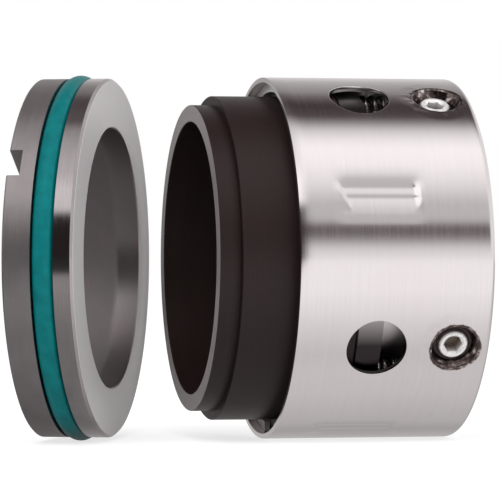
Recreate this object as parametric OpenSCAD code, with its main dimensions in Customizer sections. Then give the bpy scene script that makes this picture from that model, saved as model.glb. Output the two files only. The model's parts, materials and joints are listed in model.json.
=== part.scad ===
// Mechanical shaft seal: a rotating head with its multi-spring drive, and the
// stationary mating ring that it runs against. Millimetres, shaft axis along X.
// The sealing nose points to -X, the drive end to +X. X = 0 is where the drive
// collar's bore begins, just inside its rear lead-in chamfer.
// A station d is counted along the head, from the front rim of the shell to the rear.
// A turn is an angle round the shaft: 0 points to -Y, 90 to +Z.

/* [Shaft] */
// Shaft that the head is clamped to
shaft_d = 45; // [44:0.5:46]
// Radial clearance between the shaft and the drive collar
shaft_gap = 0.05; // [0.02:0.01:0.2]

/* [Retainer shell] */
// Outside diameter of the pressed shell
shell_d = 66; // [65.6:0.1:68]
// Length of the shell from the front rim to the rear face
shell_len = 35.3; // [35:0.1:40]
// Thickness of the sheet
sheet = 1.0; // [0.8:0.05:1.2]
// Outer bend radius at the rear corner
corner_r = 1.2; // [1.1:0.1:2]
// Width of the rear lip, from the shell's outside inwards
lip_w = 3.6; // [3:0.1:5]
// Edge break on the rim
rim_break = 0.15; // [0.1:0.05:0.3]

/* [Flush windows] */
// Number of windows, and of set screws behind them
drive_count = 4; // [2:1:4]
// Turn of the first window and of the first set screw
drive_turn = 61; // [50:1:70]
// Diameter of each round window
window_d = 10.8; // [8:0.1:11.2]
// Station of the windows
window_at = 14.6; // [14:0.1:15]

/* [Drive dimples] */
// Turn of the first dimple
dimple_turn = 19.5; // [16:0.5:24]
// Number of dimples
dimple_count = 4; // [2:1:4]
// Room between a dimple's rear end and the drive collar
dimple_clear = 0.3; // [0.3:0.1:1]
// Length of the pressed floor
dimple_len = 13.4; // [10:0.1:15]
// Radius of the round punch
punch_r = 4.0; // [3.5:0.1:4.5]
// Depth that the punch pushes the sheet in
dimple_depth = 1.5; // [1:0.1:1.6]
// Slant of the dimple's front end, in degrees
dimple_slant = 22; // [0:1:30]

/* [Set screws] */
// Thread diameter of the set screws
screw_d = 6; // [5:0.5:6]
// Room between the backed-off screws and the shaft bore
screw_lift = 1.15; // [0.5:0.05:1.5]
// Distance of the screws from the rear face
screw_from_rear = 6.4; // [6:0.1:7]
// Depth of the screw's top below the shell's outside
screw_recess = 1.3; // [1:0.1:1.5]
// Key size across the flats of the hexagon socket
key_af = 3; // [2.5:0.5:3]
// Radial clearance of a screw in the throat of the funnel pressed round it
throat_gap = 0.4; // [0.3:0.05:0.6]
// How much wider the funnel's mouth is than its throat, in radius
mouth_flare = 0.7; // [0.4:0.1:0.9]
// Depth of the funnel
funnel_depth = 2.0; // [1.8:0.1:2.2]
// Radius that rounds the funnel's mouth
mouth_round = 0.5; // [0.4:0.1:0.9]

/* [Snap ring] */
// Station of the front side of the snap ring's groove
snap_at = 1.6; // [1.4:0.1:2]
// Thickness of the snap ring
snap_t = 1.0; // [0.8:0.1:1.2]
// Radial width of the snap ring
snap_w = 1.95; // [1.6:0.05:2.2]
// Depth of its groove in the sheet
snap_groove = 0.4; // [0.3:0.05:0.5]
// Gap between its ends, in degrees
snap_split = 14; // [8:1:30]

/* [Primary ring] */
// Reach of the sealing nose in front of the shell's rim
nose_out = 13.3; // [12.5:0.1:14]
// Height of the shoulder behind the sealing nose
shoulder_h = 1.65; // [1:0.05:2.5]
// How much the nose's wall is thicker than half the room between the shaft guide and its outside
nose_extra = 0.525; // [0.1:0.05:1]
// Length of the nose in front of the shoulder
nose_len = 3.8; // [2.5:0.1:4.5]
// Radial clearance between the primary ring's body and the snap ring
body_gap = 0.9; // [0.6:0.05:1.2]
// Depth of the wide nose bore, from the sealing face
nose_bore_len = 12; // [8:0.5:16]
// Station of the rear face of the primary ring
ring_rear_at = 11.2; // [10.8:0.1:11.6]
// Radial clearance between the primary ring's flange and the shell
flange_gap = 0.7; // [0.6:0.05:0.9]
// Side clearance of the drive grooves beside a dimple
groove_side = 0.5; // [0.4:0.1:0.8]

/* [Shaft O-ring] */
// Section diameter of the O-ring on the shaft
shaft_cord = 3.5; // [3.2:0.1:3.6]

/* [Thrust ring] */
// Thickness of the thrust ring's plate
plate_t = 4.7; // [4.3:0.1:5]
// Depth of the seats in the plate that the springs stand in
spring_seat = 0.3; // [0.2:0.1:0.6]
// Wall of the neck under the springs
neck_wall = 2.55; // [2.4:0.05:2.8]
// How far the lands between the springs stand out past the springs' own circle
land_rise = 0.25; // [0:0.05:0.6]

/* [Springs] */
// Number of coil springs, each in a flute of the neck
spring_count = 12; // [12:1:12]
// Turn of the first spring, measured from the first screw
spring_offset = 15; // [13:1:17]
// Wall that the collar keeps outside a spring's pocket
pocket_wall = 1.2; // [1:0.1:1.4]
// Wire diameter
wire_d = 0.8; // [0.6:0.05:0.9]
// Turns of wire, closed end turns included
spring_turns = 8; // [6:1:9]
// Travel of the face when its springs are pressed together
face_travel = 3.0; // [2:0.1:3.2]

/* [Drive collar] */
// Station of the collar's front face
collar_front_at = 22.7; // [22.6:0.1:23]
// Depth of the spring pockets
pocket_depth = 5.7; // [5:0.1:6]
// Radial clearance round a spring in its pocket
pocket_gap = 0.2; // [0.15:0.05:0.25]
// Depth of the counterbore that the thrust ring's neck slides into
counterbore = 2.3; // [1.8:0.1:2.4]
// Lead-in chamfer at the rear end of the collar's bore
bore_lead = 0.5; // [0.3:0.1:0.8]

/* [Mating ring] */
// Outside diameter of the mating ring
seat_d = 65.0; // [64:0.1:66]
// Inside diameter of the mating ring
seat_bore_d = 47.1; // [46.8:0.1:49]
// Land behind the O-ring groove
back_land = 5.0; // [4.4:0.1:6]
// Side clearance of the O-ring in its groove
seat_groove_gap = 0.15; // [0.1:0.05:0.4]
// Land in front of the groove, with the chamfer
front_land = 3.5; // [3:0.1:5]
// Section diameter of the mating ring's O-ring
seat_cord = 3.8; // [3.4:0.1:3.8]
// How far that O-ring stands proud
seat_proud = 0.6; // [0.4:0.1:0.9]
// Chamfer round the lapped face
seat_chamfer = 0.5; // [0.3:0.1:0.8]
// Width of the anti-rotation notch in the back
notch_w = 5.2; // [4:0.1:6]
// Depth of the notch, along the ring's axis
notch_depth = 2.4; // [2:0.1:3]
// Turn of the notch
notch_turn = 31; // [20:1:40]
// Room between the sealing nose and the nearest edge of the mating ring, along the shaft
seat_clear = 1.7; // [1:0.1:8]
// Angle that the mating ring stands turned to the head, in degrees
seat_turn = 22.4; // [0:0.1:24]

/* [Hidden] */
$fn = 96;
// Clearance between pieces that seat on each other, so that no two faces coincide
seat_fit = 0.05;
// Overshoot of a cutting shape past the faces that it opens
over = 1;
// Room left at the end of a stroke
end_gap = 0.3;

shell_r = shell_d / 2;
inner_r = shell_r - sheet;
shaft_r = shaft_d / 2;
bore_r = shaft_r + shaft_gap;
rear_x = bore_lead;
rim_x = rear_x - shell_len;
pitch = 360 / drive_count;

collar_r = inner_r - seat_fit;
lip_r = shell_r - lip_w;
collar_x = rim_x + collar_front_at;
collar_break = 0.4;
screw_x = rear_x - screw_from_rear;
screw_hole_r = screw_d / 2;
screw_r = screw_hole_r - seat_fit;
screw_top_r = shell_r - screw_recess;
screw_len = screw_top_r - bore_r - screw_lift;
screw_chamfer = 0.55;
socket_depth = 3;
// Depth of the chamfer round the socket's mouth
socket_lead = 0.45;
// Cone at the screw's foot, the flat rim round its cup, and the cup itself
foot_cone = 0.6;
cup_rim = 0.15;
cup_depth = 0.7;
cup_r = screw_d * 0.22;
throat_r = screw_hole_r + throat_gap;
mouth_r = throat_r + mouth_flare;
funnel_r = shell_r - funnel_depth;
// Where the funnel's wall meets the sheet, low enough to stay under the curved outside
funnel_top_r = inner_r + sheet / 2;
// How far short of its tangent with the outside the funnel's rounding stops
mouth_edge = 0.2;
// Centre line of the dimples' round punch, and the middle of their length
punch_axis_r = shell_r - dimple_depth + punch_r;
dimple_x = collar_x - dimple_clear - sheet - dimple_len / 2;

snap_x = rim_x + snap_at;
snap_groove_r = inner_r + snap_groove;
snap_outer_r = snap_groove_r - seat_fit;
snap_bore_r = snap_outer_r - snap_w;
snap_axial_gap = 0.1;

// Radial clearance of the moving rings on the shaft, on top of the collar's own
guide_gap = 0.25;
guide_r = bore_r + guide_gap;
nose_x = rim_x - nose_out;
body_r = snap_bore_r - body_gap;
nose_r = body_r - shoulder_h;
nose_bore_r = (guide_r + nose_r) / 2 - nose_extra;
nose_break = 0.12;
shoulder_x = nose_x + nose_len;
flange_r = inner_r - flange_gap;
flange_x = snap_x + snap_t + 2 * snap_axial_gap;
flange_break = 0.3;
ring_rear_x = rim_x + ring_rear_at;
cord_r = shaft_cord / 2;
chamber_r = bore_r + shaft_cord + seat_fit;
chamber_x = ring_rear_x - shaft_cord - 2 * seat_fit;

plate_x = ring_rear_x + seat_fit;
// Step by which the thrust ring is smaller than the flange, in radius
plate_step = 0.3;
plate_r = flange_r - plate_step;
plate_rear_x = plate_x + plate_t;
// The neck stops short of the counterbore's floor when the face is pressed right back
neck_end_x = collar_x + counterbore - end_gap - face_travel;
neck_side_gap = 0.25;
neck_break = 0.3;

// The pockets fill the room between the neck's inner wall and the collar's outer one
pocket_in_r = guide_r + neck_wall;
pocket_out_r = collar_r - pocket_wall;
pocket_r = (pocket_out_r - pocket_in_r) / 2;
spring_pitch_r = (pocket_out_r + pocket_in_r) / 2;
spring_r = pocket_r - pocket_gap;
wire_r = wire_d / 2;
neck_r = spring_pitch_r + land_rise;
spring_seat_x = plate_rear_x - spring_seat;
spring_x = spring_seat_x + seat_fit;
pocket_x = collar_x + pocket_depth;
spring_len = pocket_x - spring_x - seat_fit;
spring_pitch = 360 / spring_count;
// Rise of a closed end turn, as a share of the wire
closed_rise = 1.06;
wire_sides = 6;
turn_steps = 10;

seat_r = seat_d / 2;
seat_bore_r = seat_bore_d / 2;
seat_groove_w = seat_cord + 2 * seat_groove_gap;
seat_len = back_land + seat_groove_w + front_land;
seat_apart = seat_clear + seat_r * sin(seat_turn);
seat_cord_mid_r = seat_r + seat_proud - seat_cord / 2;
seat_groove_r = seat_cord_mid_r - seat_cord / 2 - seat_fit;
seat_break = 0.25;
groove_mid = -front_land - seat_groove_w / 2;

// Turns a profile of [radius, station along X] points round the shaft axis
module turned(profile) {
    rotate([0, 90, 0]) rotate_extrude() polygon(profile);
}

// Places children that point to +Z so that they point outwards at a turn
module at_turn(turn) {
    rotate([90 - turn, 0, 0]) children();
}

// Places children at each screw and window
module at_drives() {
    for (k = [0 : drive_count - 1]) at_turn(drive_turn + k * pitch) children();
}

// Places children at each dimple
module at_dimples() {
    for (k = [0 : dimple_count - 1])
        at_turn(dimple_turn + k * 360 / dimple_count) children();
}

// Outline of a dimple seen from outside: front end slanted, rear end round
module dimple_plan(grow) {
    half = punch_r + grow;
    front = -dimple_len / 2 - grow;
    rear = dimple_len / 2 + grow;
    slant = half * tan(dimple_slant);
    polygon([[front + slant, -half], [rear - half, -half],
             [rear - half, half], [front - slant, half]]);
    translate([rear - half, 0]) circle(half);
}

// The space that the punch takes, or with grow = sheet the sheet round it
module punch(grow) {
    intersection() {
        translate([dimple_x - dimple_len, 0, punch_axis_r])
            rotate([0, 90, 0]) cylinder(r = punch_r + grow, h = 2 * dimple_len);
        translate([dimple_x, 0, funnel_r - 2 * over])
            linear_extrude(height = 3 * punch_r) dimple_plan(grow);
    }
}

// Wall of the funnel round a set screw
module funnel_wall(gap) {
    translate([screw_x, 0, funnel_r])
        cylinder(r1 = throat_r + sheet + gap, r2 = mouth_r + sheet + gap,
                 h = funnel_top_r - funnel_r);
}

// Space inside the funnel, with its mouth rounded
module funnel_space() {
    round_r = shell_r - mouth_round;
    edge_r = mouth_r + mouth_round - mouth_edge;
    translate([screw_x, 0, 0]) rotate_extrude() difference() {
        polygon([[0, funnel_r - over], [throat_r, funnel_r - over], [throat_r, funnel_r],
                 [mouth_r, round_r], [edge_r, round_r], [edge_r, shell_r + over],
                 [0, shell_r + over]]);
        translate([mouth_r + mouth_round, round_r]) circle(mouth_round);
    }
}

module retainer_shell() color("silver") difference() {
    union() {
        difference() {
            rotate([0, 90, 0]) rotate_extrude() {
                polygon([[0, rim_x], [shell_r - rim_break, rim_x],
                         [shell_r, rim_x + rim_break], [shell_r, rear_x - corner_r],
                         [0, rear_x - corner_r]]);
                translate([0, rear_x - 2 * corner_r])
                    square([shell_r - corner_r, 2 * corner_r]);
                translate([shell_r - corner_r, rear_x - corner_r]) circle(corner_r);
            }
            turned([[0, rim_x - over], [inner_r, rim_x - over],
                    [inner_r, rear_x - sheet], [0, rear_x - sheet]]);
            turned([[0, rear_x - sheet - over], [lip_r, rear_x - sheet - over],
                    [lip_r, rear_x + over], [0, rear_x + over]]);
        }
        intersection() {
            at_dimples() punch(sheet);
            turned([[0, rim_x], [funnel_top_r, rim_x], [funnel_top_r, rear_x],
                    [0, rear_x]]);
        }
        at_drives() funnel_wall(0);
    }
    at_dimples() punch(0);
    at_drives() funnel_space();
    at_drives() translate([rim_x + window_at, 0, inner_r - over])
        cylinder(d = window_d, h = sheet + 2 * over);
    turned([[inner_r - over, snap_x], [snap_groove_r, snap_x],
            [snap_groove_r, snap_x + snap_t + snap_axial_gap],
            [inner_r - over, snap_x + snap_t + snap_axial_gap]]);
}

module drive_collar() color("lightgray") difference() {
    floor_x = collar_x + counterbore;
    shoulder = rear_x - sheet - seat_fit;
    recess_r = neck_r + neck_side_gap;
    turned([[recess_r, collar_x], [collar_r - collar_break, collar_x],
            [collar_r, collar_x + collar_break], [collar_r, shoulder],
            [lip_r - seat_fit, shoulder], [lip_r - seat_fit, rear_x],
            [bore_r + bore_lead, rear_x], [bore_r, 0], [bore_r, floor_x],
            [recess_r, floor_x]]);
    at_drives() funnel_wall(seat_fit);
    at_drives() translate([screw_x, 0, bore_r - over])
        cylinder(r = screw_hole_r, h = collar_r - bore_r + 2 * over);
    spring_pockets(collar_x - over, pocket_x);
}

// Round pockets that the springs stand in, from one place along X to another
module spring_pockets(front, rear) {
    for (k = [0 : spring_count - 1]) at_turn(spring_turn(k))
        translate([front, 0, spring_pitch_r])
            rotate([0, 90, 0]) cylinder(r = pocket_r, h = rear - front);
}

// Cup-point set screw, its top at z = 0
module set_screw() difference() {
    rotate_extrude() polygon([
        [0, 0], [screw_r - screw_chamfer, 0], [screw_r, -screw_chamfer],
        [screw_r, foot_cone - screw_len], [cup_r + cup_rim, -screw_len],
        [cup_r, -screw_len], [0, cup_depth - screw_len]]);
    translate([0, 0, -socket_depth])
        cylinder(d = key_af / cos(30), h = socket_depth + over, $fn = 6);
    translate([0, 0, -socket_lead])
        cylinder(r1 = key_af / 2, r2 = key_af / 2 + 2 * socket_lead, h = 2 * socket_lead);
}

module set_screws() color("gainsboro")
    at_drives() translate([screw_x, 0, screw_top_r]) set_screw();

module snap_ring() color("lightsteelblue") difference() {
    front = snap_x + snap_axial_gap / 2;
    split = snap_outer_r * tan(snap_split / 2);
    turned([[snap_bore_r, front], [snap_outer_r, front],
            [snap_outer_r, front + snap_t], [snap_bore_r, front + snap_t]]);
    at_turn(-90) translate([snap_x - over, -split, 0])
        cube([snap_t + 2 * over, 2 * split, shell_r]);
}

// Grooves that slide along the pressed dimples, cut from the outside inwards
module drive_grooves(front, rear) {
    floor_r = punch_axis_r - punch_r - sheet - groove_side;
    half = punch_half_chord(inner_r) + groove_side;
    at_dimples() translate([front - over, -half, floor_r])
        cube([rear - front + 2 * over, 2 * half, shell_r - floor_r]);
}

module primary_ring() color("#2e2626") difference() {
    turned([[nose_bore_r + nose_break, nose_x], [nose_r - nose_break, nose_x],
            [nose_r, nose_x + nose_break], [nose_r, shoulder_x],
            [body_r - nose_break, shoulder_x], [body_r, shoulder_x + nose_break],
            [body_r, flange_x], [flange_r - flange_break, flange_x],
            [flange_r, flange_x + flange_break], [flange_r, ring_rear_x - flange_break],
            [flange_r - flange_break, ring_rear_x], [chamber_r, ring_rear_x],
            [chamber_r, chamber_x], [guide_r, chamber_x],
            [guide_r, nose_x + nose_bore_len],
            [nose_bore_r, nose_x + nose_bore_len - (nose_bore_r - guide_r)],
            [nose_bore_r, nose_x + nose_break]]);
    drive_grooves(flange_x, ring_rear_x);
}

module shaft_o_ring() color("#007a7a")
    rotate([0, 90, 0]) rotate_extrude()
        translate([bore_r + cord_r, chamber_x + seat_fit + cord_r]) circle(cord_r);

module thrust_ring() color("darkgray") difference() {
    turned([[guide_r, plate_x], [plate_r - flange_break, plate_x],
            [plate_r, plate_x + flange_break], [plate_r, plate_rear_x],
            [neck_r, plate_rear_x], [neck_r, neck_end_x - neck_break],
            [neck_r - neck_break, neck_end_x], [guide_r, neck_end_x]]);
    drive_grooves(plate_x, plate_rear_x);
    spring_pockets(spring_seat_x, neck_end_x + over);
}

// Height of the wire's centreline after t turns: closed ends, open coils between
function coil_rise(t) =
    let (open = (spring_len - wire_d * (1 + 2 * closed_rise)) / (spring_turns - 2))
    wire_r + wire_d * closed_rise * (min(t, 1) + max(0, t - spring_turns + 1))
    + open * max(0, min(t, spring_turns - 1) - 1);

// One point on the wire's skin, at t turns and at angle b round the wire
function wire_point(t, b) =
    let (reach = spring_r - wire_r + wire_r * cos(b))
    [reach * cos(360 * t), reach * sin(360 * t), coil_rise(t) + wire_r * sin(b)];

// Half the width of the dimple's inner skin where it leaves radius r
function punch_half_chord(r) =
    let (skin_r = punch_r + sheet,
         along = (punch_axis_r ^ 2 + r ^ 2 - skin_r ^ 2) / (2 * punch_axis_r))
    sqrt(r * r - along * along);

function spring_turn(k) = drive_turn + spring_offset + k * spring_pitch;

// Coil spring along +Z, from z = 0
module coil() {
    rings = spring_turns * turn_steps;
    points = [for (i = [0 : rings], j = [0 : wire_sides - 1])
        wire_point(i / turn_steps, j * 360 / wire_sides)];
    sides = [for (i = [0 : rings - 1], j = [0 : wire_sides - 1], half = [0, 1])
        let (a = i * wire_sides + j, b = i * wire_sides + (j + 1) % wire_sides)
        half == 0 ? [a, b, b + wire_sides] : [a, b + wire_sides, a + wire_sides]];
    first = [for (j = [0 : wire_sides - 1]) wire_sides - 1 - j];
    last = [for (j = [0 : wire_sides - 1]) rings * wire_sides + j];
    polyhedron(points, concat(sides, [first, last]));
}

module spring(number) color("whitesmoke") at_turn(spring_turn(number - 1))
    translate([spring_x, 0, spring_pitch_r]) rotate([0, 90, 0]) coil();

// Places children from the mating ring's own frame: lapped face at x = 0, body to -x
module in_seat() {
    translate([nose_x - seat_apart, 0, 0]) rotate([0, 0, -seat_turn]) children();
}

module mating_ring() color("gray") in_seat() difference() {
    groove_front = -front_land;
    groove_rear = -front_land - seat_groove_w;
    turned([[seat_bore_r + seat_break, 0], [seat_r - seat_chamfer, 0],
            [seat_r, -seat_chamfer], [seat_r, groove_front],
            [seat_groove_r, groove_front], [seat_groove_r, groove_rear],
            [seat_r, groove_rear], [seat_r, seat_break - seat_len],
            [seat_r - seat_break, -seat_len], [seat_bore_r + seat_break, -seat_len],
            [seat_bore_r, seat_break - seat_len], [seat_bore_r, -seat_break]]);
    at_turn(notch_turn) translate([-seat_len - over, -notch_w / 2, 0])
        cube([notch_depth + over, notch_w, seat_r + over]);
}

module seat_o_ring() color("teal") in_seat()
    rotate([0, 90, 0]) rotate_extrude()
        translate([seat_cord_mid_r, groove_mid]) circle(seat_cord / 2);

retainer_shell();
drive_collar();
set_screws();
snap_ring();
primary_ring();
shaft_o_ring();
thrust_ring();
spring(1);  // spring_01
spring(2);  // spring_02
spring(3);  // spring_03
spring(4);  // spring_04
spring(5);  // spring_05
spring(6);  // spring_06
spring(7);  // spring_07
spring(8);  // spring_08
spring(9);  // spring_09
spring(10);  // spring_10
spring(11);  // spring_11
spring(12);  // spring_12
mating_ring();
seat_o_ring();
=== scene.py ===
# Mechanical shaft seal: the rotating head in its pressed steel shell, with the mating ring beside it.
# Metres. The shaft axis is X, the sealing nose points to -X and the camera looks along +Y.
import json
import math

import bmesh
import bpy
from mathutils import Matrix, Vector
from mathutils.geometry import delaunay_2d_cdt
from mathutils.noise import noise as bumps


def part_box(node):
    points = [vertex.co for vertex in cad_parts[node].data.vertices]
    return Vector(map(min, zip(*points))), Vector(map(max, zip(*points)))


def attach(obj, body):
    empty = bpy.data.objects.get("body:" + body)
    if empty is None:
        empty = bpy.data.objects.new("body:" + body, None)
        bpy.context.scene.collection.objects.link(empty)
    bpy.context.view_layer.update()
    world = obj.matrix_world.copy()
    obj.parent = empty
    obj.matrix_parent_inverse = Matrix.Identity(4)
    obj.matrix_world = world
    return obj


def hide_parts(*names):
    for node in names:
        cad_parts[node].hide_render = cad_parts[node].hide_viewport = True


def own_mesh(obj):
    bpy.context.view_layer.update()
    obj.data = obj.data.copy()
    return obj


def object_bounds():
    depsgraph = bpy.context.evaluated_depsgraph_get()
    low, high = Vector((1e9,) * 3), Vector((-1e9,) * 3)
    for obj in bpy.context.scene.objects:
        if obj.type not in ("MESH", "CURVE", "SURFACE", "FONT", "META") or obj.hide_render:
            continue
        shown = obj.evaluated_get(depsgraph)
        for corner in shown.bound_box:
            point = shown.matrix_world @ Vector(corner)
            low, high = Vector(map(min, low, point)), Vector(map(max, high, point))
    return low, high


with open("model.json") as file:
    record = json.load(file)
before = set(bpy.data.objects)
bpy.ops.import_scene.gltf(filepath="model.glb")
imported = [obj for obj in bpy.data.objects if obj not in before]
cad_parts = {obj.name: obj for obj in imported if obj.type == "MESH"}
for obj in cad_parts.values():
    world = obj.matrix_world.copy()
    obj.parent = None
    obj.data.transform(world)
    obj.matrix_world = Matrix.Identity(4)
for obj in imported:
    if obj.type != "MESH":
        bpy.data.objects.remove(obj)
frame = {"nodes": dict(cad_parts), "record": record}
cad_bounds = [list(corner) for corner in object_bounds()]

MM = 0.001

# Camera: level, 12.2 degrees round towards the nose, far enough for a flat perspective
VIEW_TURN = math.radians(12.2)
VIEW_DISTANCE = 640 * MM
VIEW_CENTRE = Vector((-36.75, 0, 1.46)) * MM
LENS = 252

# Shaft-axis stations that the finishes follow
NOSE_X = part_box("primary_ring")[0].x
SPRINGS = sorted(name for name in frame["nodes"] if name.startswith("spring_"))
SPRING_FRONT_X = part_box(SPRINGS[0])[0].x

# The pressed shell, in millimetres and degrees of turn: 0 points to the camera side, 90 up
SHELL_R = 33.0
SHEET = 1.0
INSIDE_R = SHELL_R - SHEET
RIM_X = -34.8
RIM_BREAK = 0.15
REAR_X = 0.5
CORNER_R = 1.2
LIP_R = 29.4
GROOVE_FRONT_X = -33.2
GROOVE_REAR_X = -32.1
GROOVE_DEPTH = 0.4
SKIN_FRONT_X = -32.0
SKIN_REAR_X = REAR_X - CORNER_R
SECTORS = 4
DIMPLE_TURN = 19.5
DIMPLE_FRONT_X = -26.8
DIMPLE_REAR_X = -13.4
DIMPLE_SLANT = math.tan(math.radians(22))
# Section across a dimple as (distance up from its middle, depth): a crease along its upper edge,
# a fainter one below it, and a long slope out at the bottom
DIMPLE_SECTION = ((-5.2, 0.0), (-4.3, 0.02), (-3.4, 0.075), (-1.9, 0.22), (-0.3, 0.395),
                  (0.25, 0.33), (1.6, 0.405), (2.3, 0.30), (3.0, 0.20), (3.7, 0.11),
                  (4.4, 0.05), (5.2, 0.012), (6.0, 0.0))
# Shifts in millimetres and weights that round the section's corners
SOFTENING = ((-0.24, 0.25), (0.0, 0.5), (0.24, 0.25))
# Runs of a dimple's sharp end walls, how far the rear one stands past the straight part, and how
# much it bows forward at a distance to the side
FRONT_WALL = 0.75
REAR_WALL = 1.7
REAR_REACH = 1.0
REAR_BOW = 1.1
REAR_BOW_SIDE = 3
# The shallow dent that goes on past both ends: its reach and its run at the front and at the rear
SOFT_FRONT = 2.4
SOFT_FRONT_RUN = 3.2
SOFT_REAR = 1.9
SOFT_REAR_RUN = 2.6
# Share of the depth that ends in the sharp walls, and half the width in which it does
SHARP_SHARE = 0.85
SHARP_HALF = 2.3
DRIVE_TURN = 61.0
WINDOW_X = -20.2
WINDOW_R = 5.4
WINDOW_BREAK = 0.12
SCREW_X = -5.9
THROAT_R = 3.4
THROAT_DEPTH = 2.0
MOUTH_R = 4.75
MOUTH_ROUND = 0.655
FUNNEL_SLOPE = math.radians(65)
FUNNEL_STEPS = 9
# Shares of the way from the end of the mouth's rounding down to the throat
THROAT_SHARES = (0.1, 0.35, 0.65, 0.93)
# The worn dent beside a funnel: reach, run, mean depth, and unevenness as (depth, scale)
WORN_R = 7.2
WORN_RUN = 2.4
WORN_DEPTH = 0.13
WORN_BUMPS = ((0.08, 0.9), (0.035, 2.3))
# How far it spreads round the funnel, and how it fades towards the rear and upwards
WORN_SPREAD = 0.75
WORN_FADE_REAR = 0.5
WORN_FADE_UP = 0.35
# Break of the edges on the sheet's inner side, and the middle of the rim's outer break
INNER_BREAK = 0.1
RIM_ROUND = 0.04
# Points nearer than this are one, and a crease sharper than this shows as an edge
WELD = 0.01 * MM
SHARP_EDGE = math.radians(40)

# The shell is made of equal sectors, each drawn on a flat pattern: station x, arc round the outside
SECTOR_TURN = (DIMPLE_TURN + DRIVE_TURN) / 2 - 45
SECTOR_ARC = SHELL_R * math.tau / SECTORS
DIMPLE_ARC = SHELL_R * math.radians(DIMPLE_TURN - SECTOR_TURN)
DRIVE_ARC = SHELL_R * math.radians(DRIVE_TURN - SECTOR_TURN)
HOLE_POINTS = 120
COLUMNS = 104
ROWS = 44
# Extra rings of points round the holes, in millimetres outside their edges
WINDOW_HALO = (0.1, 0.3, 0.65)
MOUTH_HALO = (0.1, 0.28)
# How far the grids of points keep from the holes
WINDOW_CLEAR = 1.05
MOUTH_CLEAR = 0.5
# A triangle belongs to a hole when its middle lies this far inside the hole's edge
HOLE_MARGIN = 0.01
# Rows of a triangular grid: how far apart, and how far even and odd ones are shifted, in steps
ROW_DISTANCE = 0.866
ROW_SHIFTS = (0.75, 0.25)
# Boxes that grids of points fill as (front, rear, low, high) and step, the finest first
DIMPLE_BOX = (DIMPLE_FRONT_X - 2.6, DIMPLE_REAR_X + SOFT_REAR, DIMPLE_ARC - 5.3, DIMPLE_ARC + 6.1)
FILLED = (((DIMPLE_BOX[0], DIMPLE_FRONT_X + 2.4, *DIMPLE_BOX[2:]), 0.24),
          ((DIMPLE_REAR_X - 1.6, *DIMPLE_BOX[1:]), 0.24),
          (DIMPLE_BOX, 0.3),
          ((SCREW_X - 7, SKIN_REAR_X - 0.2, DRIVE_ARC - 7, DRIVE_ARC + 7), 0.36),
          ((SKIN_FRONT_X + 0.3, SKIN_REAR_X - 0.2, 0.3, SECTOR_ARC - 0.3), 0.7))

# Distances in millimetres between which a finish changes. The first three are from a set screw's
# axis, the socket's from the shaft axis, and the last two from a lapped face
FUNNEL_EDGE = (5.0, 5.25)
COLLAR_THREAD = (3.8, 4.1)
SCREW_THREAD = (2.5, 2.7)
SOCKET_DEPTH = (29.6, 31.4)
LAPPED = (0.02, 0.08)
REAR_LAND = (4.0, 5.0)

# Spring wire in metres, turns, rise of a closed end turn in wire diameters, the share of the wire's
# radius that grinding takes off the ends, and how finely a coil is drawn
WIRE_R = 0.4 * MM
COIL_TURNS = 8
CLOSED_RISE = 1.06
GROUND = 0.35
TURN_STEPS = 40
WIRE_SIDES = 14

# Bands of light and dark that the metal reflects, as (degrees over the shaft axis, strength), where
# 0 is level towards the camera and 90 overhead
BANDS = ((-180, 0.5), (-150, 0.6), (-90, 0.8), (-45, 1.0), (-20, 1.09), (-8, 1.04), (1, 0.95),
         (5, 0.84), (8, 0.66), (10.5, 0.44), (13, 0.25), (15.5, 0.16), (18, 0.13), (20.5, 0.18),
         (23, 0.53), (26, 0.63), (33, 0.6), (37.5, 0.66), (44, 0.84), (51, 0.99), (62, 1.16),
         (74, 1.22), (80, 1.08), (84, 0.95), (89, 0.74), (95, 0.34), (100.5, 0.08), (114.5, 0.05),
         (123.5, 0.16), (131, 0.32), (150, 0.5), (163, 0.7))
# The same on the mating ring's side, where a dark card stands level with the camera
CARDS = ((-180, 0.4), (-20, 0.25), (-10, 0.04), (31.5, 0.03), (36, 1.25), (50, 1.32), (64, 0.98),
         (87, 0.72), (94, 0.6), (101, 0.2), (127, 0.16), (132, 0.33), (163, 0.42))
# What polished metal sees of the table, as (share of the way out to the front, strength)
TABLE_BANDS = ((0, 0.52), (0.025, 0.49), (0.045, 0.43), (0.06, 0.53), (0.078, 0.58), (0.11, 0.67),
               (0.145, 0.7), (0.185, 0.68), (0.245, 0.8), (0.335, 0.95), (0.5, 1.06), (1, 1.08))
# Where the mating ring's bands and the pale card take over, by the x of a direction
TO_SEAT = (-0.1, 0.1)
TO_DRIVE_END = (0.42, 0.7)
# Half the table's width and the way out to the front, in metres
TABLE_SIZE = 3.0
TABLE_FRONT = 0.2
# Stations in metres between which the table grows dimmer for metal, and how strong it stays there
SEAT_SIDE = (-0.075, -0.055, 0.5)
CARD_SIDE = (-0.2, -0.165, 0.08)


def node(tree, kind, inputs=None, **settings):
    """Adds a shader node, sets its properties and its inputs, and links what is a socket."""
    made = tree.nodes.new(kind)
    for name, value in settings.items():
        setattr(made, name, value)
    for key, value in (inputs or {}).items():
        if isinstance(value, bpy.types.NodeSocket):
            tree.links.new(value, made.inputs[key])
        else:
            made.inputs[key].default_value = value
    return made


def maths(tree, operation, *values):
    """One step of arithmetic on sockets and numbers."""
    return node(tree, "ShaderNodeMath", dict(enumerate(values)), operation=operation).outputs[0]


def spread(tree, value, low, high, to_low, to_high):
    """Maps a value from one range to another, clamped."""
    made = node(tree, "ShaderNodeMapRange", {0: value, 1: low, 2: high, 3: to_low, 4: to_high})
    return made.outputs[0]


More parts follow.
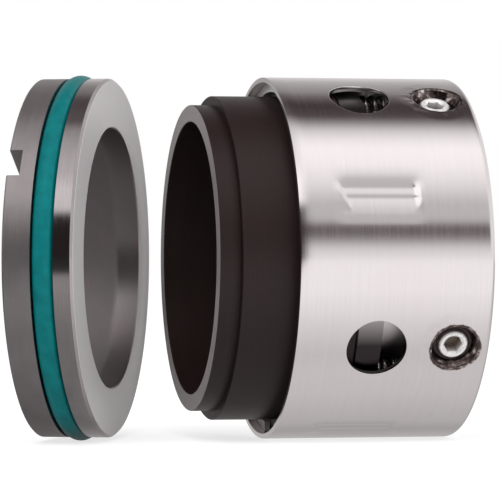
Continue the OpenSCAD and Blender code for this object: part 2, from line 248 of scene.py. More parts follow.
def ramp(tree, factor, stops):
    """Colour ramp with (position, colour or grey) stops."""
    made = node(tree, "ShaderNodeValToRGB", {0: factor})
    elements = made.color_ramp.elements
    while len(elements) < len(stops):
        elements.new(0.5)
    for element, (position, colour) in zip(elements, stops):
        element.position = position
        rgb = colour if hasattr(colour, "__len__") else (colour,) * 3
        element.color = (*rgb, 1)
    return made.outputs[0]


def noise(tree, place, scale, detail=2.0, rough=0.5):
    """Noise between 0 and 1 over a place."""
    made = node(tree, "ShaderNodeTexNoise", {"Vector": place, "Scale": scale, "Detail": detail,
                                             "Roughness": rough})
    return made.outputs[0]


def vector(tree, x, y, z):
    """A vector of three values."""
    return node(tree, "ShaderNodeCombineXYZ", {0: x, 1: y, 2: z}).outputs[0]


def mix(tree, factor, a, b, blend="MIX"):
    """Mixes two colours, each a socket or a colour."""
    made = node(tree, "ShaderNodeMix", {0: factor}, data_type="RGBA", blend_type=blend)
    for index, value in ((6, a), (7, b)):
        if isinstance(value, bpy.types.NodeSocket):
            tree.links.new(value, made.inputs[index])
        else:
            made.inputs[index].default_value = (*value, 1)
    return made.outputs[2]


def past_drive(tree, at):
    """How far round the shell a point lies past the nearest screw and window, in millimetres."""
    turned = maths(tree, "SUBTRACT", at.turn, math.radians(DRIVE_TURN))
    own = maths(tree, "WRAP", turned, math.pi / SECTORS, -math.pi / SECTORS)
    return maths(tree, "MULTIPLY", at.radius, maths(tree, "SINE", own))


def from_drive(tree, at):
    """Distance from the nearest set screw's axis, in millimetres."""
    across = past_drive(tree, at)
    along = maths(tree, "SUBTRACT", at.x, SCREW_X)
    squares = maths(tree, "ADD", maths(tree, "MULTIPLY", along, along),
                    maths(tree, "MULTIPLY", across, across))
    return maths(tree, "SQRT", squares)


class Round:
    """Coordinates round an axis along X: station x, turn in radians and radius, in millimetres."""

    def __init__(self, tree, turned=0.0, origin=(0, 0, 0)):
        coords = node(tree, "ShaderNodeTexCoord").outputs["Object"]
        placed = node(tree, "ShaderNodeMapping", {0: coords, 1: [-v for v in origin]},
                      vector_type="POINT").outputs[0]
        swung = node(tree, "ShaderNodeMapping", {0: placed, 2: (0, 0, turned),
                                                 3: (1 / MM, 1 / MM, 1 / MM)}).outputs[0]
        split = node(tree, "ShaderNodeSeparateXYZ", {0: swung})
        self.point = swung
        self.x, self.y, self.z = split.outputs[:3]
        self.turn = maths(tree, "ARCTAN2", self.z, maths(tree, "MULTIPLY", self.y, -1.0))
        squares = maths(tree, "ADD", maths(tree, "MULTIPLY", self.y, self.y),
                        maths(tree, "MULTIPLY", self.z, self.z))
        self.radius = maths(tree, "SQRT", squares)


def material(name, metallic=0.0, anisotropy=0.0):
    """A new material, its tree and its shader."""
    made = bpy.data.materials.new(name)
    made.use_nodes = True
    tree = made.node_tree
    shader = tree.nodes["Principled BSDF"]
    shader.inputs["Metallic"].default_value = metallic
    if anisotropy:
        shader.inputs["Anisotropic"].default_value = anisotropy
        shader.inputs["Anisotropic Rotation"].default_value = 0.25
        tangent = node(tree, "ShaderNodeTangent", direction_type="RADIAL", axis="X")
        tree.links.new(tangent.outputs[0], shader.inputs["Tangent"])
    return made, tree, shader


def bump(tree, shader, height, distance):
    """Fine relief in the shader's normal, over a distance in metres."""
    made = node(tree, "ShaderNodeBump", {"Height": height, "Distance": distance, "Strength": 1.0})
    tree.links.new(made.outputs[0], shader.inputs["Normal"])


def shell_steel():
    """Stainless sheet, brushed round the shaft axis, with faint stains and fine scratches."""
    made, tree, shader = material("brushed_shell", metallic=1.0, anisotropy=0.55)
    at = Round(tree)
    fine = noise(tree, vector(tree, maths(tree, "MULTIPLY", at.x, 7.0),
                              maths(tree, "MULTIPLY", at.turn, 2.5), 0.0), 1.0, 3.0, 0.65)
    broad = noise(tree, vector(tree, maths(tree, "MULTIPLY", at.x, 1.3),
                               maths(tree, "MULTIPLY", at.turn, 0.8), 3.0), 1.0, 2.0)
    stain = noise(tree, at.point, 0.07, 3.0, 0.6)
    tone = ramp(tree, fine, [(0.3, (0.765, 0.752, 0.752)), (0.7, (0.82, 0.807, 0.807))])
    tinted = mix(tree, spread(tree, stain, 0.45, 0.75, 0.0, 0.3), tone, (0.77, 0.735, 0.74))
    shaded = mix(tree, spread(tree, broad, 0.35, 0.7, 0.0, 0.25), tinted, (0.74, 0.735, 0.738))
    # Mottled dark and bright down in the funnels round the set screws: tarnish and bright scrapes, with
    # painted shade darkening the sunken funnel walls
    uneven = maths(tree, "MULTIPLY", noise(tree, at.point, 0.8, 3.0, 0.6), 0.8)
    funnel = spread(tree, maths(tree, "ADD", from_drive(tree, at), uneven), *FUNNEL_EDGE, 1.0, 0.0)
    scrapes_and_painted_shade = ramp(tree, noise(tree, at.point, 0.75, 4.0, 0.6),
                   [(0.46, (0.085, 0.066, 0.06)), (0.56, (0.22, 0.185, 0.175)),
                    (0.66, (0.74, 0.7, 0.69))])
    # Shade in front of the snap ring, just inside the rim
    hidden = maths(tree, "MULTIPLY", spread(tree, at.radius, INSIDE_R + 0.05, INSIDE_R + 0.2, 1.0, 0.0),
                   spread(tree, at.x, SKIN_FRONT_X, SKIN_FRONT_X + 1, 1.0, 0.0))
    outside = mix(tree, funnel, shaded, scrapes_and_painted_shade)
    tree.links.new(mix(tree, hidden, outside, (0.22, 0.19, 0.185)), shader.inputs["Base Color"])
    tree.links.new(spread(tree, fine, 0.3, 0.7, 0.12, 0.21), shader.inputs["Roughness"])
    bump(tree, shader, fine, 0.004 * MM)
    return made


def turning_rings(tree, at):
    """The fine rings that turning leaves round the shaft axis."""
    place = vector(tree, maths(tree, "MULTIPLY", at.x, 12.0), at.radius, 0.0)
    return noise(tree, place, 3.0, 3.0)


def collar_steel():
    """Turned steel of the drive collar, dark in the threads of the set screws."""
    made, tree, shader = material("turned_collar", metallic=1.0, anisotropy=0.4)
    at = Round(tree)
    rings = turning_rings(tree, at)
    tone = ramp(tree, rings, [(0.3, (0.5, 0.48, 0.47)), (0.7, (0.62, 0.6, 0.59))])
    thread = spread(tree, from_drive(tree, at), *COLLAR_THREAD, 1.0, 0.0)
    tree.links.new(mix(tree, thread, tone, (0.06, 0.048, 0.045)), shader.inputs["Base Color"])
    tree.links.new(spread(tree, rings, 0.3, 0.7, 0.22, 0.34), shader.inputs["Roughness"])
    bump(tree, shader, rings, 0.004 * MM)
    return made


def thrust_steel():
    """Turned steel: the plate dark and the neck light, both lighter towards one side of each window,
    all painted light and shade.
    """
    made, tree, shader = material("turned_thrust_ring", metallic=1.0, anisotropy=0.4)
    at = Round(tree)
    rings = turning_rings(tree, at)
    past = past_drive(tree, at)
    # Painted light and shade: plate darker, neck lighter, each growing lighter towards one side of its
    # window
    plate_painted_shading = mix(tree, spread(tree, past, -0.5, 6.0, 0.0, 1.0),
                (0.05, 0.042, 0.046), (0.55, 0.52, 0.52))
    neck_painted_shading = mix(tree, spread(tree, past, -2.5, 4.0, 0.0, 1.0), (0.12, 0.1, 0.11), (0.97, 0.93, 0.93))
    seat = SPRING_FRONT_X / MM
    step = spread(tree, at.x, seat + 0.2, seat + 0.35, 0.0, 1.0)
    tone = mix(tree, step, plate_painted_shading, neck_painted_shading)
    worn = ramp(tree, rings, [(0.3, 0.86), (0.7, 1.0)])
    tree.links.new(mix(tree, 1.0, tone, worn, "MULTIPLY"), shader.inputs["Base Color"])
    tree.links.new(spread(tree, rings, 0.3, 0.7, 0.3, 0.42), shader.inputs["Roughness"])
    bump(tree, shader, rings, 0.004 * MM)
    return made


def screw_steel():
    """Bright satin steel of the set screws, brown down in the socket and dark in the thread."""
    made, tree, shader = material("screw_steel", metallic=0.45)
    at = Round(tree)
    worn = noise(tree, at.point, 1.8, 4.0, 0.6)
    deep = spread(tree, at.radius, *SOCKET_DEPTH, 0.0, 1.0)
    tone = ramp(tree, worn, [(0.35, (0.86, 0.85, 0.84)), (0.65, (0.98, 0.97, 0.96))])
    bright = mix(tree, deep, (0.3, 0.25, 0.21), tone)
    thread = spread(tree, from_drive(tree, at), *SCREW_THREAD, 0.0, 1.0)
    tree.links.new(mix(tree, thread, bright, (0.07, 0.055, 0.05)), shader.inputs["Base Color"])
    tree.links.new(spread(tree, worn, 0.3, 0.7, 0.24, 0.4), shader.inputs["Roughness"])
    bump(tree, shader, worn, 0.01 * MM)
    return made


def drawn_wire(name, metallic, dark, light):
    """Bright drawn wire, of the springs and of the snap ring."""
    made, tree, shader = material(name, metallic=metallic)
    at = Round(tree)
    drawn = noise(tree, at.point, 2.5, 2.0)
    tree.links.new(ramp(tree, drawn, [(0.3, dark), (0.7, light)]), shader.inputs["Base Color"])
    tree.links.new(spread(tree, drawn, 0.3, 0.7, 0.14, 0.26), shader.inputs["Roughness"])
    return made


def carbon():
    """Machined carbon: brown-black with fine turning rings, and a lapped, shinier sealing face."""
    made, tree, shader = material("carbon")
    at = Round(tree)
    rings = noise(tree, vector(tree, maths(tree, "MULTIPLY", at.x, 5.0),
                               maths(tree, "MULTIPLY", at.radius, 2.0), 0.0), 1.0, 2.0)
    grain = noise(tree, at.point, 4.0, 3.0)
    tone = ramp(tree, rings, [(0.3, (0.0125, 0.0065, 0.0058)), (0.7, (0.0185, 0.0102, 0.009))])
    mottled = mix(tree, spread(tree, grain, 0.4, 0.7, 0.0, 0.5), tone, (0.01, 0.006, 0.006))
    lapped = spread(tree, at.x, NOSE_X / MM + LAPPED[0], NOSE_X / MM + LAPPED[1], 1.0, 0.0)
    dull = spread(tree, grain, 0.3, 0.7, 0.36, 0.48)
    tree.links.new(mix(tree, lapped, mottled, (0.2, 0.175, 0.175)), shader.inputs["Base Color"])
    tree.links.new(maths(tree, "SUBTRACT", dull, maths(tree, "MULTIPLY", lapped, 0.22)),
                   shader.inputs["Roughness"])
    shader.inputs["Specular IOR Level"].default_value = 0.28
    bump(tree, shader, maths(tree, "ADD", rings, maths(tree, "MULTIPLY", grain, 0.6)), 0.01 * MM)
    return made


def seat_finish():
    """Ground silicon carbide: glossy lands, a grey lapped face and a darker, cloudy bore."""
    made, tree, shader = material("seat_ceramic")
    at = Round(tree, turned=SEAT_TURN, origin=SEAT_CENTRE)
    behind = maths(tree, "ABSOLUTE", at.x)
    marks = noise(tree, vector(tree, maths(tree, "MULTIPLY", at.x, 7.0),
                               maths(tree, "MULTIPLY", at.turn, 3.0),
                               maths(tree, "MULTIPLY", at.radius, 2.0)), 1.0, 3.0)
    cloud = noise(tree, at.point, 0.16, 3.0, 0.6)
    lapped = spread(tree, behind, *LAPPED, 1.0, 0.0)
    rear = spread(tree, behind, *REAR_LAND, 0.0, 1.0)
    bore = spread(tree, at.radius, SEAT_BORE_R + 0.1, SEAT_BORE_R + 0.4, 1.0, 0.0)
    ground = ramp(tree, marks, [(0.3, (0.4, 0.38, 0.385)), (0.7, (0.46, 0.44, 0.445))])
    clouded = mix(tree, spread(tree, cloud, 0.4, 0.7, 0.0, 0.4), ground, (0.32, 0.295, 0.3))
    patches = ramp(tree, cloud, [(0.35, (0.38, 0.335, 0.355)), (0.6, (0.34, 0.33, 0.322))])
    tone = mix(tree, bore, clouded, patches)
    tree.links.new(mix(tree, lapped, tone, (0.5, 0.485, 0.487)), shader.inputs["Base Color"])
    tree.links.new(maths(tree, "SUBTRACT", 1.0, lapped), shader.inputs["Metallic"])
    # The land behind the O-ring is ground more coarsely
    gloss = maths(tree, "ADD", spread(tree, marks, 0.3, 0.7, 0.1, 0.16),
                  maths(tree, "MULTIPLY", rear, 0.3))
    satin = maths(tree, "MAXIMUM", lapped, bore)
    tree.links.new(maths(tree, "ADD", gloss, maths(tree, "MULTIPLY", satin, 0.2)),
                   shader.inputs["Roughness"])
    bump(tree, shader, marks, 0.0015 * MM)
    return made


def elastomer():
    """Teal O-ring rubber, smooth, with a faint bloom."""
    made, tree, shader = material("teal_elastomer")
    at = Round(tree)
    bloom = noise(tree, at.point, 0.5, 3.0)
    skin = noise(tree, at.point, 6.0, 2.0)
    tree.links.new(ramp(tree, bloom, [(0.3, (0.0, 0.12, 0.128)), (0.7, (0.0, 0.16, 0.166))]),
                   shader.inputs["Base Color"])
    shader.inputs["Specular IOR Level"].default_value = 0.14
    tree.links.new(spread(tree, bloom, 0.3, 0.7, 0.3, 0.42), shader.inputs["Roughness"])
    bump(tree, shader, skin, 0.01 * MM)
    return made


def seat_place():
    """Centre of the mating ring's lapped face, its turn about Z and its bore, from the mounts."""
    bore = next(m for m in frame["record"]["mounts"] if m["name"] == "seat_bore")
    face = next(m for m in frame["record"]["mounts"] if m["name"] == "seat_face")
    normal = Vector(face["axis"]).normalized()
    centre = Vector(face["pos_m"])
    centre.z = 0
    return centre, math.atan2(-normal.y, normal.x), bore["dims"]["r_mm"]


SEAT_CENTRE, SEAT_TURN, SEAT_BORE_R = seat_place()


def coil_mesh(name, start, end, centre, radius):
    """A compression spring along X with closed, ground ends. centre is (y, z) of its axis."""
    length = end - start
    closed = WIRE_R * 2 * CLOSED_RISE
    open_rise = (length - 2 * WIRE_R - 2 * closed) / (COIL_TURNS - 2)
    lead = radius - WIRE_R
    ground = GROUND * WIRE_R

    def rise(t):
        ends = closed * (min(t, 1) + max(0, t - COIL_TURNS + 1))
        return WIRE_R + ends + open_rise * max(0, min(t, COIL_TURNS - 1) - 1)

    points = []
    for i in range(COIL_TURNS * TURN_STEPS + 1):
        t = i / TURN_STEPS
        climb = rise(min(t + 0.01, COIL_TURNS)) - rise(max(t - 0.01, 0))
        slope = math.atan2(climb, 0.02 * math.tau * lead)
        for j in range(WIRE_SIDES):
            around = math.tau * j / WIRE_SIDES
            reach = lead + WIRE_R * math.cos(around)
            along = WIRE_R * math.sin(around)
            angle = math.tau * t - math.sin(slope) * along / lead
            x = min(max(rise(t) + math.cos(slope) * along, ground), length - ground)
            points.append((start + x, centre[0] + reach * math.cos(angle),
                           centre[1] + reach * math.sin(angle)))
    faces = []
    for i in range(COIL_TURNS * TURN_STEPS):
        for j in range(WIRE_SIDES):
            a = i * WIRE_SIDES + j
            b = i * WIRE_SIDES + (j + 1) % WIRE_SIDES
            faces.append((a, a + WIRE_SIDES, b + WIRE_SIDES, b))
    last = COIL_TURNS * TURN_STEPS * WIRE_SIDES
    faces.append(tuple(range(WIRE_SIDES)))
    faces.append(tuple(reversed(range(last, last + WIRE_SIDES))))
    mesh = bpy.data.meshes.new(name)
    mesh.from_pydata(points, [], faces)
    mesh.shade_smooth()
    mesh.validate()
    coil = bpy.data.objects.new(name, mesh)
    bpy.context.scene.collection.objects.link(coil)
    return coil


def build_coils(wire):
    """One smooth coil for each spring, riding with the retainer."""
    for spring in SPRINGS:
        low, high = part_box(spring)
        centre = ((low.y + high.y) / 2, (low.z + high.z) / 2)
        radius = (high.z - low.z) / 2
        coil = coil_mesh("coil_" + spring[-2:], low.x, high.x, centre, radius)
        coil.data.materials.append(wire)
        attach(coil, "retainer")
        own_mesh(coil)
        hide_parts(spring)


def ease(value):
    """Smooth step from 0 to 1."""
    value = min(max(value, 0.0), 1.0)
    return value * value * (3 - 2 * value)


def between(points, value):
    """Straight-line value between (position, amount) points, and 0 outside them."""
    for (low, low_amount), (high, high_amount) in zip(points, points[1:]):
        if low <= value < high:
            return low_amount + (high_amount - low_amount) * (value - low) / (high - low)
    return 0.0


def dimple_depth(x, turn):
    """How deep the drive dimple is at a point: sharp walls inside, a shallow dent past its ends."""
    side = SHELL_R * math.sin(math.radians(turn - DIMPLE_TURN))
    front = DIMPLE_FRONT_X - DIMPLE_SLANT * side
    rear = DIMPLE_REAR_X + REAR_REACH - REAR_BOW * (side / REAR_BOW_SIDE) ** 4
    sharp = ease((x - front) / FRONT_WALL) * ease((rear - x) / REAR_WALL)
    soft_front = ease((x - DIMPLE_FRONT_X + SOFT_FRONT) / SOFT_FRONT_RUN)
    soft_rear = ease((DIMPLE_REAR_X + SOFT_REAR - x) / SOFT_REAR_RUN)
    share = SHARP_SHARE * math.exp(-(side / SHARP_HALF) ** 4)
    section = sum(between(DIMPLE_SECTION, side + shift) * weight for shift, weight in SOFTENING)
    return section * (share * sharp + (1 - share) * soft_front * soft_rear)


def worn_depth(x, turn):
    """How deep the uneven dent is on the worn side of a funnel."""
    along = x - SCREW_X
    across = SHELL_R * math.sin(math.radians(turn - DRIVE_TURN))
    away = math.hypot(along, across)
    if away >= WORN_R:
        return 0.0
    fade = (WORN_FADE_REAR * along + WORN_FADE_UP * across) / max(away, 0.1)
    facing = ease(WORN_SPREAD - fade)
    spot = Vector((x, across, 0.3))
    uneven = WORN_DEPTH + sum(depth * bumps(spot * scale) for depth, scale in WORN_BUMPS)
    return ease((WORN_R - away) / WORN_RUN) * facing * uneven


def pressed(x, turn):
    """How deep the sheet is pushed in at a point."""
    return dimple_depth(x, turn) + worn_depth(x, turn)


def on_shell(x, turn, depth):
    """A point of the shell in metres, at a depth below its plain outside."""
    angle = math.radians(turn)
    reach = SHELL_R - depth
    return Vector((x, -reach * math.cos(angle), reach * math.sin(angle))) * MM


def sector_place(x, across, turn):
    """Place in the sector's flat pattern of a point beside a hole's centre at a turn."""
    swing = math.degrees(math.asin(across / SHELL_R))
    return Vector((x, SHELL_R * math.radians(turn + swing - SECTOR_TURN)))


def hexagonal(low_x, high_x, low_s, high_s, step):
    """Points on a triangular grid that fills a box."""
    rows = max(2, round((high_s - low_s) / (step * ROW_DISTANCE)))
    columns = max(2, round((high_x - low_x) / step))
    for i in range(rows):
        shift = ROW_SHIFTS[i % 2]
        for j in range(columns):
            yield Vector((low_x + (high_x - low_x) * (j + shift) / columns,
                          low_s + (high_s - low_s) * (i + 0.5) / rows))


def ring(centre_x, radius):
    """Points round a hole, in the flat pattern."""
    points = []
    for i in range(HOLE_POINTS):
        angle = math.tau * i / HOLE_POINTS
        points.append(sector_place(centre_x + radius * math.cos(angle), radius * math.sin(angle),
                                   DRIVE_TURN))
    return points


def near_hole(place, centre_x, radius):
    """Whether a place of the flat pattern lies within a radius of a hole's centre."""
    return math.hypot(place.x - centre_x, place.y - DRIVE_ARC) < radius


def grid_points():
    """Grid points that fill the flat pattern, each box apart from the finer ones and the holes."""
    for index, (box, step) in enumerate(FILLED):
        for point in hexagonal(*box, step):
            finer = any(front < point.x < rear and low < point.y < high
                        for (front, rear, low, high), _ in FILLED[:index])
            by_window = near_hole(point, WINDOW_X, WINDOW_R + WINDOW_CLEAR)
            by_screw = near_hole(point, SCREW_X, MOUTH_R + MOUTH_CLEAR)
            if not (finer or by_window or by_screw):
                yield point


def flat_pattern():
    """Triangulates one sector. Gives points, triangles, and the rows window, mouth, front, rear."""
    window_edge = WINDOW_R + WINDOW_BREAK
    rows = [ring(WINDOW_X, window_edge), ring(SCREW_X, MOUTH_R)]
    for x in (SKIN_FRONT_X, SKIN_REAR_X):
        rows.append([Vector((x, SECTOR_ARC * i / COLUMNS)) for i in range(COLUMNS + 1)])
    points = [point for row in rows for point in row]
    steps = [SKIN_FRONT_X + (SKIN_REAR_X - SKIN_FRONT_X) * i / ROWS for i in range(1, ROWS)]
    for arc in (0, SECTOR_ARC):
        points += [Vector((x, arc)) for x in steps]
    for gap in WINDOW_HALO:
        points += ring(WINDOW_X, window_edge + gap)
    for gap in MOUTH_HALO:
        points += ring(SCREW_X, MOUTH_R + gap)
    points += grid_points()
    flat, _, faces, origins, _, _ = delaunay_2d_cdt(points, [], [], 0, 1e-5)
    found = {source: index for index, sources in enumerate(origins) for source in sources}
    kept = []
    for face in faces:
        middle = sum((flat[i] for i in face), Vector((0, 0))) / 3
        in_window = near_hole(middle, WINDOW_X, window_edge - HOLE_MARGIN)
        in_screw = near_hole(middle, SCREW_X, MOUTH_R - HOLE_MARGIN)
        if not (in_window or in_screw):
            kept.append(tuple(face))
    named = []
    start = 0
    for row in rows:
        named.append([found[i] for i in range(start, start + len(row))])
        start += len(row)
    return flat, kept, named


def window_rings():
    """Wall of a window from outside to inside, as (radius, depth)."""
    rings = []
    for angle in (30, 60, 90):
        rings.append((WINDOW_R + WINDOW_BREAK * (1 - math.sin(math.radians(angle))),
                      WINDOW_BREAK * (1 - math.cos(math.radians(angle)))))
    return rings + [(WINDOW_R, SHEET - INNER_BREAK),
                    (WINDOW_R + INNER_BREAK / 2, SHEET - INNER_BREAK / 5)]


def funnel_rings():
    """Wall of a funnel from its mouth down to the throat and back up behind it, as (radius, depth)."""
    rings = []
    for i in range(1, FUNNEL_STEPS + 1):
        angle = FUNNEL_SLOPE * i / FUNNEL_STEPS
        rings.append((MOUTH_R - MOUTH_ROUND * math.sin(angle), MOUTH_ROUND * (1 - math.cos(angle))))
    top_r, top_depth = rings[-1]
    for share in THROAT_SHARES:
        rings.append((top_r + (THROAT_R - top_r) * share,
                      top_depth + (THROAT_DEPTH - top_depth) * share))
    return rings + [(THROAT_R + INNER_BREAK / 5, THROAT_DEPTH),
                    (THROAT_R + SHEET * 0.75, THROAT_DEPTH),
                    (THROAT_R + SHEET, THROAT_DEPTH - INNER_BREAK)]


def bridge(bm, first, second, closed):
    """Faces between two rows of vertices."""
    count = len(first)
    for i in range(count if closed else count - 1):
        j = (i + 1) % count
        bm.faces.new((first[i], first[j], second[j], second[i]))


def front_profile():
    """Front rim and the snap ring's groove from outside to inside, as (radius, station)."""
    groove_r = INSIDE_R + GROOVE_DEPTH
    return [(SHELL_R, RIM_X + RIM_BREAK), (SHELL_R - RIM_ROUND, RIM_X + RIM_ROUND),
            (SHELL_R - RIM_BREAK, RIM_X), (INSIDE_R + INNER_BREAK, RIM_X),
            (INSIDE_R, RIM_X + INNER_BREAK), (INSIDE_R, GROOVE_FRONT_X),
            (groove_r, GROOVE_FRONT_X), (groove_r, GROOVE_REAR_X), (INSIDE_R, GROOVE_REAR_X)]


def rear_profile():
    """Rounded rear corner and the lip from outside to inside, as (radius, station)."""
    profile = []
    for angle in range(10, 91, 10):
        turn = math.radians(angle)
        profile.append((SHELL_R - CORNER_R * (1 - math.cos(turn)),
                        SKIN_REAR_X + CORNER_R * math.sin(turn)))
    return profile + [(LIP_R + INNER_BREAK, REAR_X), (LIP_R, REAR_X - INNER_BREAK),
                      (LIP_R, REAR_X - SHEET), (INSIDE_R, REAR_X - SHEET)]


def hole_wall(bm, start, edge, centre_x, rings):
    """Goes down a hole's wall from its edge, in the sector at a starting turn. Gives the last row."""
    last = edge
    for radius, depth in rings:
        row = []
        for i in range(HOLE_POINTS):
            angle = math.tau * i / HOLE_POINTS
            x = centre_x + radius * math.cos(angle)
            turn = DRIVE_TURN + math.degrees(math.asin(radius * math.sin(angle) / SHELL_R))
            dent = pressed(x, turn) * (1 - min(depth / SHEET, 1))
            row.append(bm.verts.new(on_shell(x, turn - SECTOR_TURN + start, depth + dent)))
        bridge(bm, last, row, True)
        last = row
    return last


def end_wall(bm, start, edge, arcs, profile):
    """Goes round an end of the shell from its edge, along a profile. Gives the last row."""
    last = edge
    for radius, x in profile:
        row = []
        for arc in arcs:
            turn = start + math.degrees(arc / SHELL_R)
            row.append(bm.verts.new(on_shell(x, turn, SHELL_R - radius)))
        bridge(bm, last, row, False)
        last = row
    return last


def build_sector(bm, start, pattern):
    """One sector of the shell at a starting turn: both skins, the holes' walls and the two ends."""
    flat, faces, (window, mouth, front, rear) = pattern
    outer = []
    inner = []
    for x, arc in flat:
        own_turn = SECTOR_TURN + math.degrees(arc / SHELL_R)
        depth = pressed(x, own_turn)
        turn = own_turn - SECTOR_TURN + start
        outer.append(bm.verts.new(on_shell(x, turn, depth)))
        inner.append(bm.verts.new(on_shell(x, turn, depth + SHEET)))
    for a, b, c in faces:
        bm.faces.new((outer[a], outer[b], outer[c]))
        bm.faces.new((inner[a], inner[c], inner[b]))
    holes = ((window, WINDOW_X, window_rings()), (mouth, SCREW_X, funnel_rings()))
    for edge, centre_x, rings in holes:
        last = hole_wall(bm, start, [outer[i] for i in edge], centre_x, rings)
        bridge(bm, last, [inner[i] for i in edge], True)
    for edge, profile in ((front, front_profile()), (rear, rear_profile())):
        arcs = [flat[i].y for i in edge]
        last = end_wall(bm, start, [outer[i] for i in edge], arcs, profile)
        bridge(bm, last, [inner[i] for i in edge], False)


def build_shell(finish):
    """The shell with soft pressed dimples, round windows and rolled funnels round the set screws."""
    pattern = flat_pattern()
    bm = bmesh.new()
    for sector in range(SECTORS):
        build_sector(bm, SECTOR_TURN + 360 * sector / SECTORS, pattern)
    bmesh.ops.remove_doubles(bm, verts=bm.verts, dist=WELD)
    bmesh.ops.recalc_face_normals(bm, faces=bm.faces)
    mesh = bpy.data.meshes.new("pressed_shell")
    bm.to_mesh(mesh)
    bm.free()
    mesh.shade_smooth()
    mesh.set_sharp_from_angle(angle=SHARP_EDGE)
    mesh.materials.append(finish)
    shell = bpy.data.objects.new("pressed_shell", mesh)
    bpy.context.scene.collection.objects.link(shell)
    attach(shell, "retainer")
    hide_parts("retainer_shell")


def paint(name, finish):
    """Gives a CAD node its finish."""
    mesh = frame["nodes"][name].data
    mesh.materials.clear()
    mesh.materials.append(finish)


def steel_sky(value):
    """Colour of a band: faintly pink, and the darker it is, the warmer."""
    green = value * (0.72 + 0.225 * min(value / 0.35, 1))
    return (value, green, green)


def band_ramp(tree, share, bands):
    """Colours of bands over a share of the circle, where 0.5 is level towards the camera."""
    return ramp(tree, share, [((angle + 180) / 360, steel_sky(value)) for angle, value in bands])


def shiny_ray(path):
    """1 where metal or glass looks, from a light path node."""
    return maths(path.id_data, "MAXIMUM", path.outputs["Is Glossy Ray"],
                 path.outputs["Is Transmission Ray"])


def studio():
    """White surroundings for the camera, and the bands of light and dark that the metal reflects."""
    world = bpy.data.worlds.new("studio")
    bpy.context.scene.world = world
    world.use_nodes = True
    tree = world.node_tree
    tree.nodes.clear()
    direction = node(tree, "ShaderNodeTexCoord").outputs["Generated"]
    split = node(tree, "ShaderNodeSeparateXYZ", {0: direction})
    towards = maths(tree, "MULTIPLY", split.outputs[1], -1.0)
    height = maths(tree, "ARCTAN2", split.outputs[2], towards)
    share = maths(tree, "ADD", maths(tree, "DIVIDE", height, math.tau), 0.5)
    ahead = band_ramp(tree, share, BANDS)
    aside = band_ramp(tree, share, CARDS)
    to_seat = spread(tree, split.outputs[0], *TO_SEAT, 1.0, 0.0)
    # A pale card past the drive end, which the shell's rear corner reflects
    to_rear = spread(tree, split.outputs[0], *TO_DRIVE_END, 0.0, 1.0)
    glossy = mix(tree, to_rear, mix(tree, to_seat, ahead, aside), (0.9, 0.86, 0.86))
    path = node(tree, "ShaderNodeLightPath")
    lit = mix(tree, shiny_ray(path), (0.72, 0.72, 0.72), glossy)
    seen = mix(tree, path.outputs["Is Camera Ray"], lit, (1, 1, 1))
    background = node(tree, "ShaderNodeBackground", {0: seen, 1: 1.0})
    output = node(tree, "ShaderNodeOutputWorld")
    tree.links.new(background.outputs[0], output.inputs[0])


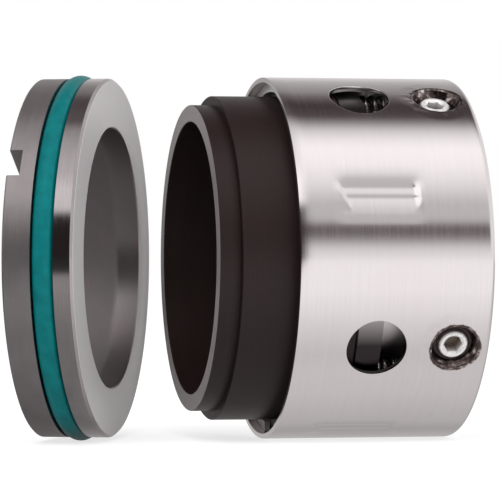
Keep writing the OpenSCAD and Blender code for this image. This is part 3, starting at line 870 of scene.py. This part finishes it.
def floor():
    """Plain white table, which keeps a soft shadow."""
    mesh = bpy.data.meshes.new("table_top")
    corners = [(x * TABLE_SIZE, y * TABLE_SIZE, cad_bounds[0][2])
               for x, y in ((-1, -1), (1, -1), (1, 1), (-1, 1))]
    mesh.from_pydata(corners, [], [(0, 1, 2, 3)])
    table = bpy.data.objects.new("table_top", mesh)
    bpy.context.scene.collection.objects.link(table)
    made = bpy.data.materials.new("white_table")
    made.use_nodes = True
    tree = made.node_tree
    tree.nodes.clear()
    path = node(tree, "ShaderNodeLightPath")
    plain = node(tree, "ShaderNodeBsdfDiffuse", {0: (0.85, 0.85, 0.85, 1)})
    dim = node(tree, "ShaderNodeBsdfDiffuse", {0: (0.4, 0.4, 0.4, 1)})
    glow = node(tree, "ShaderNodeEmission", {0: (1, 1, 1, 1), 1: 0.72})
    seen = node(tree, "ShaderNodeAddShader", {0: dim.outputs[0], 1: glow.outputs[0]})
    # What polished metal sees of the table, from just under the seal out to the front
    place = node(tree, "ShaderNodeSeparateXYZ", {0: node(tree, "ShaderNodeTexCoord").outputs["Object"]})
    ahead = spread(tree, place.outputs[1], 0.0, -TABLE_FRONT, 0.0, 1.0)
    tones = ramp(tree, ahead, [(at, steel_sky(value)) for at, value in TABLE_BANDS])
    # Darker on the mating ring's side, and darkest where the card stands
    strength = maths(tree, "MULTIPLY", spread(tree, place.outputs[0], *SEAT_SIDE, 1.0),
                     spread(tree, place.outputs[0], *CARD_SIDE, 1.0))
    mirrored = node(tree, "ShaderNodeEmission", {0: tones, 1: strength})
    lit = node(tree, "ShaderNodeMixShader", {0: shiny_ray(path), 1: plain.outputs[0],
                                             2: mirrored.outputs[0]})
    both = node(tree, "ShaderNodeMixShader", {0: path.outputs["Is Camera Ray"], 1: lit.outputs[0],
                                              2: seen.outputs[0]})
    output = node(tree, "ShaderNodeOutputMaterial")
    tree.links.new(both.outputs[0], output.inputs[0])
    mesh.materials.append(made)


def lamp(name, place, size, power):
    """A soft square light aimed at the seal."""
    light = bpy.data.lights.new(name, "AREA")
    light.size = size
    light.energy = power
    lamp_object = bpy.data.objects.new(name, light)
    lamp_object.location = place
    aim = VIEW_CENTRE - lamp_object.location
    lamp_object.rotation_euler = aim.to_track_quat("-Z", "Y").to_euler()
    lamp_object.visible_glossy = False
    bpy.context.scene.collection.objects.link(lamp_object)


def camera():
    """The photograph's view."""
    data = bpy.data.cameras.new("camera")
    data.lens = LENS
    data.sensor_width = 36
    data.clip_start = 0.01
    eye = bpy.data.objects.new("camera", data)
    back = Vector((math.sin(VIEW_TURN), math.cos(VIEW_TURN), 0)) * VIEW_DISTANCE
    eye.location = VIEW_CENTRE - back
    eye.rotation_euler = (math.pi / 2, 0, -VIEW_TURN)
    bpy.context.scene.collection.objects.link(eye)
    bpy.context.scene.camera = eye


camera()
studio()
floor()
lamp("key_light", (-0.35, -0.7, 0.75), 0.8, 7.0)
lamp("fill_light", (0.7, -0.5, 0.35), 0.6, 2.0)
bpy.context.scene.view_settings.view_transform = "Standard"

wire = drawn_wire("spring_wire", 1.0, (0.66, 0.64, 0.63), (0.8, 0.78, 0.77))
snap_wire = drawn_wire("snap_wire", 0.5, (0.86, 0.84, 0.83), (0.94, 0.92, 0.91))
teal = elastomer()
build_shell(shell_steel())
paint("drive_collar", collar_steel())
paint("thrust_ring", thrust_steel())
paint("set_screws", screw_steel())
paint("snap_ring", snap_wire)
paint("primary_ring", carbon())
paint("shaft_o_ring", teal)
paint("seat_o_ring", teal)
paint("mating_ring", seat_finish())
build_coils(wire)
